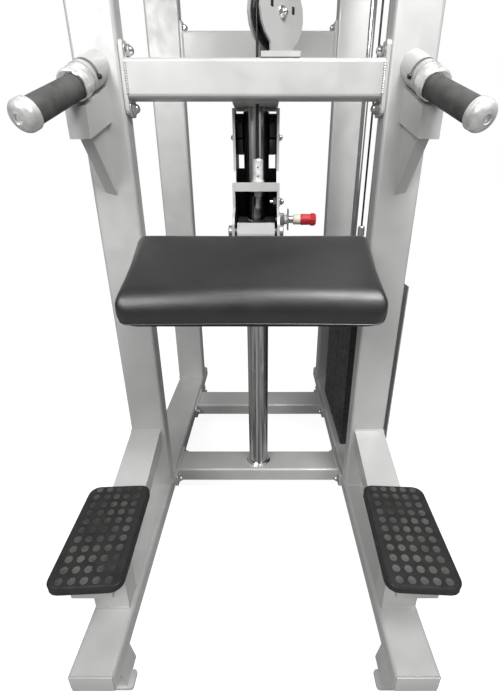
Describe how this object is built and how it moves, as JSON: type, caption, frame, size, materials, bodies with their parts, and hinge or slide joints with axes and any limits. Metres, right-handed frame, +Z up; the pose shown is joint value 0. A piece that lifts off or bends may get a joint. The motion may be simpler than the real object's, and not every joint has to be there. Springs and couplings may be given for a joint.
{
  "type": "weight-assisted chin and dip machine",
  "caption": "Assisted chin and dip machine: a folding knee pad on a cable-hung carriage rides a post, balanced by a weight stack; turning dip handles, fixed steps.",
  "frame": {"origin": "on the floor, under the middle of the machine's bounding box", "axes": "+Z up; the user faces +Y; the weight stack is on the user's right, at +X"},
  "size_m": [1.2666, 1.392, 2.15],
  "materials": {
    "frame_paint": "light silver-grey powder coat, satin",
    "chrome": "bright chrome plate",
    "zinc": "zinc-plated steel",
    "grip_rubber": "matte dark grey sleeve",
    "tread_rubber": "black tread with round studs",
    "black_plastic": "black moulded plastic",
    "upholstery": "black leatherette, slight sheen",
    "stack_paint": "black satin paint",
    "red_knob": "glossy dark red",
    "cable_sheath": "black nylon-coated steel cable"
  },
  "bodies": {
    "frame": {"centre_pulley_bracket": "frame_paint", "front_guide_rod": "chrome", "guide_post": "chrome", "left_chin_bar": "frame_paint", "left_dip_bracket": "frame_paint", "left_foot_plate": "tread_rubber", "left_front_foot": "frame_paint", "left_front_rail": "frame_paint", "left_front_upright": "frame_paint", "left_rear_foot": "frame_paint", "left_rear_rail": "frame_paint", "left_rear_upright": "frame_paint", "left_side_beam": "frame_paint", "left_step_arm": "frame_paint", "lower_front_cross": "frame_paint", "lower_rear_cross": "frame_paint", "middle_cable": "cable_sheath", "rear_guide_rod": "chrome", "resting_plates": "stack_paint", "right_chin_bar": "frame_paint", "right_dip_bracket": "frame_paint", "right_foot_plate": "tread_rubber", "right_front_foot": "frame_paint", "right_front_rail": "frame_paint", "right_front_upright": "frame_paint", "right_rear_foot": "frame_paint", "right_rear_rail": "frame_paint", "right_rear_upright": "frame_paint", "right_side_beam": "frame_paint", "right_step_arm": "frame_paint", "stack_pulley_bracket": "frame_paint", "stack_shroud": "frame_paint", "top_cross": "frame_paint", "upper_front_cross": "frame_paint", "upper_rear_cross": "frame_paint"},
    "carriage": {"carriage_frame": "frame_paint", "cable_stud": "zinc", "carriage_cable": "cable_sheath", "pad_hinge_bolt": "zinc"},
    "upper_roller": {"upper_roller": "black_plastic"},
    "lower_roller": {"lower_roller": "black_plastic"},
    "pad": {"pad_arm": "frame_paint", "pad_board": "black_plastic", "knee_pad": "upholstery"},
    "pull_pin": {"pull_pin": "zinc", "pull_knob": "red_knob"},
    "centre_pulley": {"centre_pulley": "black_plastic"},
    "stack_pulley": {"stack_pulley": "black_plastic"},
    "stack": {"lifted_plates": "stack_paint", "top_plate": "stack_paint", "selector_stem": "zinc", "stack_cable": "cable_sheath"},
    "selector_pin": {"selector_pin": "black_plastic"},
    "left_dip": {"left_dip_hub": "chrome", "left_dip_grip": "grip_rubber", "left_dip_cap": "chrome"},
    "right_dip": {"right_dip_hub": "chrome", "right_dip_grip": "grip_rubber", "right_dip_cap": "chrome"}
  },
  "joints": [
    {"name": "stack_slide", "type": "slide", "parent": "frame", "child": "stack", "axis": [0, 0, 1], "range_m": [0, 0.42], "deforming": ["stack_cable"]},
    {"name": "carriage_slide", "type": "slide", "parent": "frame", "child": "carriage", "axis": [0, 0, 1], "range_m": [-0.42, 0], "deforming": ["carriage_cable"]},
    {"name": "centre_pulley_spin", "type": "hinge", "parent": "frame", "child": "centre_pulley", "pos_m": [0.0454, -0.05738, 1.345], "axis": [0.7004, -0.7137, 0], "range_deg": [-5, 440]},
    {"name": "stack_pulley_spin", "type": "hinge", "parent": "frame", "child": "stack_pulley", "pos_m": [0.3106, 0.20288, 1.7], "axis": [0.7004, -0.7137, 0], "range_deg": [-5, 440]},
    {"name": "upper_roller_spin", "type": "hinge", "parent": "carriage", "child": "upper_roller", "pos_m": [0, 0.0162, 1.112], "axis": [1, 0, 0], "range_deg": [-870, 5]},
    {"name": "lower_roller_spin", "type": "hinge", "parent": "carriage", "child": "lower_roller", "pos_m": [0, -0.1042, 0.885], "axis": [1, 0, 0], "range_deg": [-5, 870]},
    {"name": "pad_fold", "type": "hinge", "parent": "carriage", "child": "pad", "pos_m": [0, -0.175, 0.897], "axis": [-1, 0, 0], "range_deg": [0, 70]},
    {"name": "pin_pull", "type": "slide", "parent": "carriage", "child": "pull_pin", "axis": [1, 0, 0], "range_m": [0, 0.012], "stiffness_N_per_m": 400},
    {"name": "selector_pull", "type": "slide", "parent": "stack", "child": "selector_pin", "axis": [-1, 0, 0], "range_m": [0, 0.068]},
    {"name": "left_handle_turn", "type": "hinge", "parent": "frame", "child": "left_dip", "pos_m": [-0.333, -0.171, 1.222], "axis": [-0.1702, -0.8711, -0.4606], "range_deg": [0, 180]},
    {"name": "right_handle_turn", "type": "hinge", "parent": "frame", "child": "right_dip", "pos_m": [0.333, -0.171, 1.222], "axis": [-0.1702, 0.8711, 0.4606], "range_deg": [0, 180]}
  ],
  "couplings": [
    {"joint": "carriage_slide", "follows": "stack_slide", "ratio": -1},
    {"joint": "centre_pulley_spin", "follows": "stack_slide", "rad_per_m": 17.241},
    {"joint": "stack_pulley_spin", "follows": "stack_slide", "rad_per_m": 17.241},
    {"joint": "upper_roller_spin", "follows": "stack_slide", "rad_per_m": -35.714},
    {"joint": "lower_roller_spin", "follows": "stack_slide", "rad_per_m": 35.714}
  ]
}
